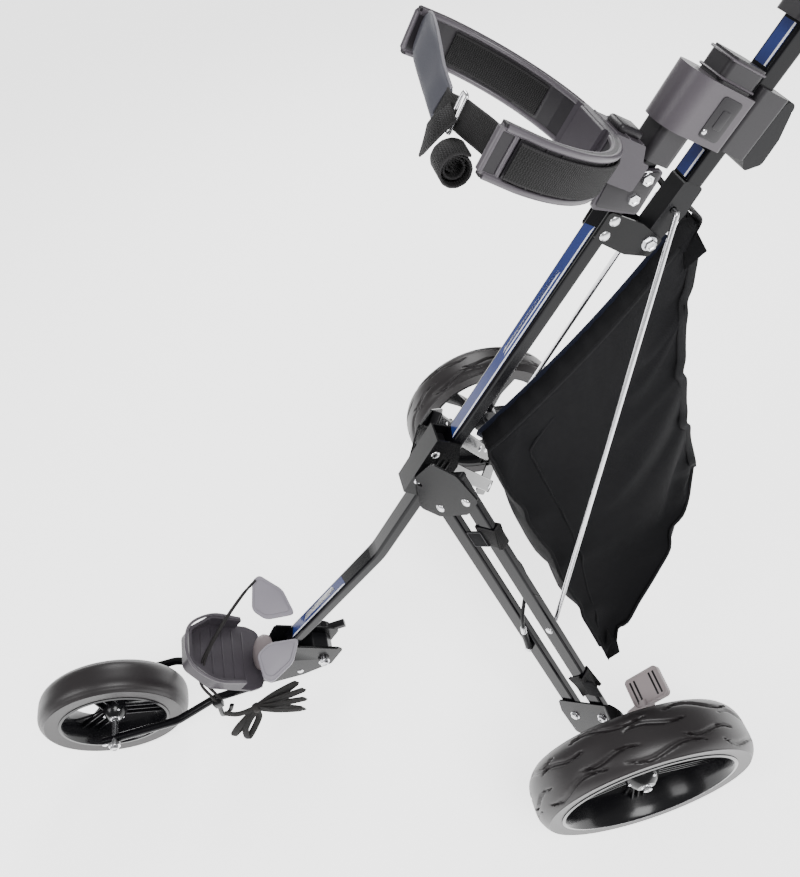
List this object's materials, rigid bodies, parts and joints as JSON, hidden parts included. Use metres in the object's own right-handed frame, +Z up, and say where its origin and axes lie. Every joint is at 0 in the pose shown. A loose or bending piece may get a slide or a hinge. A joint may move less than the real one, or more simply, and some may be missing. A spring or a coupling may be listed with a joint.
{
  "type": "golf push cart",
  "caption": "Folding three-wheel golf push cart with a bent tube frame, upper and lower bag cradles, linked rear legs with push rods, cloth pouch and folding handle.",
  "frame": {"origin": "on the floor under the middle of the overall box", "axes": "+X forward to the front wheel, +Y to the left, +Z up"},
  "size_m": [1.3099, 0.7352, 1.0401],
  "materials": {
    "tyre": "satin",
    "black_metal": "satin",
    "bright_steel": "bright",
    "gloss_rim": "gloss",
    "cloth": "woven",
    "blue_film": "gloss",
    "grip_rubber": "matt",
    "grey_plastic": "matt",
    "dark_plastic": "satin"
  },
  "bodies": {
    "frame": {"main_tube": "black_metal", "tube_labels": "blue_film", "frame_sleeve": "dark_plastic", "clamp_barrel": "dark_plastic", "cradle_saddle": "dark_plastic", "cradle_arm_left": "dark_plastic", "cradle_arm_right": "dark_plastic", "cradle_bolts": "bright_steel", "cradle_strap": "cloth", "upper_bracket_left": "black_metal", "upper_bracket_right": "black_metal", "frame_rivets": "bright_steel", "handle_pivot_bolt": "bright_steel", "centre_bracket": "black_metal", "bracket_packer": "dark_plastic", "leg_pivot_pins": "bright_steel", "hinge_knuckle": "dark_plastic", "fork_pivot_bolt": "bright_steel", "storage_bag": "cloth"},
    "fork": {"fork_plate_left": "black_metal", "fork_plate_right": "black_metal", "front_fork": "black_metal", "front_axle": "bright_steel", "lower_cradle": "dark_plastic", "cradle_wing_left": "grey_plastic", "cradle_wing_right": "grey_plastic", "elastic_strap": "cloth"},
    "front_wheel": {"front_tyre": "tyre", "front_rim": "gloss_rim"},
    "fork_lock": {"cam_knob": "dark_plastic"},
    "handle": {"hinge_block": "dark_plastic", "handle_tube": "black_metal", "clamp_cap": "dark_plastic", "lock_body": "dark_plastic", "angle_joint": "dark_plastic"},
    "lever": {"lock_lever": "dark_plastic"},
    "bar": {"handle_bar": "black_metal", "handle_grips": "grip_rubber"},
    "leg_left": {"leg_bar_left": "black_metal", "cable_adjuster": "bright_steel", "brake_cable": "dark_plastic"},
    "link_left": {"link_bar_left": "black_metal", "rod_pin_left": "bright_steel"},
    "foot_left": {"axle_bracket_left": "black_metal", "axle_bracket_pins_left": "bright_steel", "rear_axle_left": "bright_steel"},
    "wheel_left": {"rear_tyre_left": "tyre", "rear_rim_left": "gloss_rim"},
    "rod_left": {"push_rod_left": "bright_steel"},
    "leg_right": {"leg_bar_right": "black_metal"},
    "link_right": {"link_bar_right": "black_metal", "rod_pin_right": "bright_steel"},
    "foot_right": {"axle_bracket_right": "black_metal", "axle_bracket_pins_right": "bright_steel", "rear_axle_right": "bright_steel"},
    "wheel_right": {"rear_tyre_right": "tyre", "rear_rim_right": "gloss_rim"},
    "rod_right": {"push_rod_right": "bright_steel"},
    "pedal": {"brake_pedal": "grey_plastic"}
  },
  "joints": [
    {"name": "fork_fold", "type": "hinge", "parent": "frame", "child": "fork", "pos_m": [0.194, 0, 0.088], "axis": [0, 1, 0], "range_deg": [0, 130]},
    {"name": "front_wheel_spin", "type": "hinge", "parent": "fork", "child": "front_wheel", "pos_m": [0.54, 0, 0.115], "axis": [0, 1, 0], "continuous": true},
    {"name": "cam_knob_turn", "type": "hinge", "parent": "fork", "child": "fork_lock", "pos_m": [0.194, -0.03, 0.088], "axis": [0, 1, 0], "range_deg": [0, 90]},
    {"name": "handle_fold", "type": "hinge", "parent": "frame", "child": "handle", "pos_m": [-0.33328, 0, 0.72134], "axis": [0, -1, 0], "range_deg": [0, 100], "deforming": ["storage_bag"]},
    {"name": "lock_lever_turn", "type": "hinge", "parent": "handle", "child": "lever", "pos_m": [-0.45808, 0, 0.82367], "axis": [0, 1, 0], "range_deg": [0, 60]},
    {"name": "handle_tilt", "type": "hinge", "parent": "handle", "child": "bar", "pos_m": [-0.52289, 0, 0.96408], "axis": [0, -1, 0], "range_deg": [-40, 50]},
    {"name": "leg_swing_left", "type": "hinge", "parent": "frame", "child": "leg_left", "pos_m": [-0.057, 0.045, 0.434], "axis": [-0.7112, -0.6868, -0.1504], "range_deg": [0, 33.37], "deforming": ["brake_cable"]},
    {"name": "link_swing_left", "type": "hinge", "parent": "frame", "child": "link_left", "pos_m": [-0.08758, 0.06999, 0.46448], "axis": [-0.7112, -0.6868, -0.1504], "range_deg": [0, 33.37]},
    {"name": "foot_swing_left", "type": "hinge", "parent": "leg_left", "child": "foot_left", "pos_m": [-0.157, 0.225, 0.085], "axis": [-0.7112, -0.6868, -0.1504], "range_deg": [-33.37, 0]},
    {"name": "rear_wheel_spin_left", "type": "hinge", "parent": "foot_left", "child": "wheel_left", "pos_m": [-0.201, 0.336, 0.146], "axis": [0, 1, 0], "continuous": true},
    {"name": "rod_turn_left", "type": "hinge", "parent": "handle", "child": "rod_left", "pos_m": [-0.35787, 0.02, 0.75037], "axis": [-0.015, 0.9648, 0.2627], "range_deg": [0, 89.1]},
    {"name": "leg_swing_right", "type": "hinge", "parent": "frame", "child": "leg_right", "pos_m": [-0.057, -0.045, 0.434], "axis": [0.7112, -0.6868, 0.1504], "range_deg": [0, 33.37]},
    {"name": "link_swing_right", "type": "hinge", "parent": "frame", "child": "link_right", "pos_m": [-0.08758, -0.06999, 0.46448], "axis": [0.7112, -0.6868, 0.1504], "range_deg": [0, 33.37]},
    {"name": "foot_swing_right", "type": "hinge", "parent": "leg_right", "child": "foot_right", "pos_m": [-0.157, -0.225, 0.085], "axis": [0.7112, -0.6868, 0.1504], "range_deg": [-33.37, 0]},
    {"name": "rear_wheel_spin_right", "type": "hinge", "parent": "foot_right", "child": "wheel_right", "pos_m": [-0.201, -0.336, 0.146], "axis": [0, 1, 0], "continuous": true},
    {"name": "rod_turn_right", "type": "hinge", "parent": "handle", "child": "rod_right", "pos_m": [-0.35787, -0.02, 0.75037], "axis": [0.015, 0.9648, -0.2627], "range_deg": [0, 89.1]},
    {"name": "pedal_tip", "type": "hinge", "parent": "foot_left", "child": "pedal", "pos_m": [-0.201, 0.285, 0.146], "axis": [0, 1, 0], "range_deg": [-18, 0]}
  ],
  "couplings": [
    {"joint": "leg_swing_left", "follows": "handle_fold", "ratio": 0.3287},
    {"joint": "link_swing_left", "follows": "handle_fold", "ratio": 0.3287},
    {"joint": "foot_swing_left", "follows": "handle_fold", "ratio": -0.3287},
    {"joint": "rod_turn_left", "follows": "handle_fold", "ratio": 0.88597},
    {"joint": "leg_swing_right", "follows": "handle_fold", "ratio": 0.3287},
    {"joint": "link_swing_right", "follows": "handle_fold", "ratio": 0.3287},
    {"joint": "foot_swing_right", "follows": "handle_fold", "ratio": -0.3287},
    {"joint": "rod_turn_right", "follows": "handle_fold", "ratio": 0.88597}
  ]
}
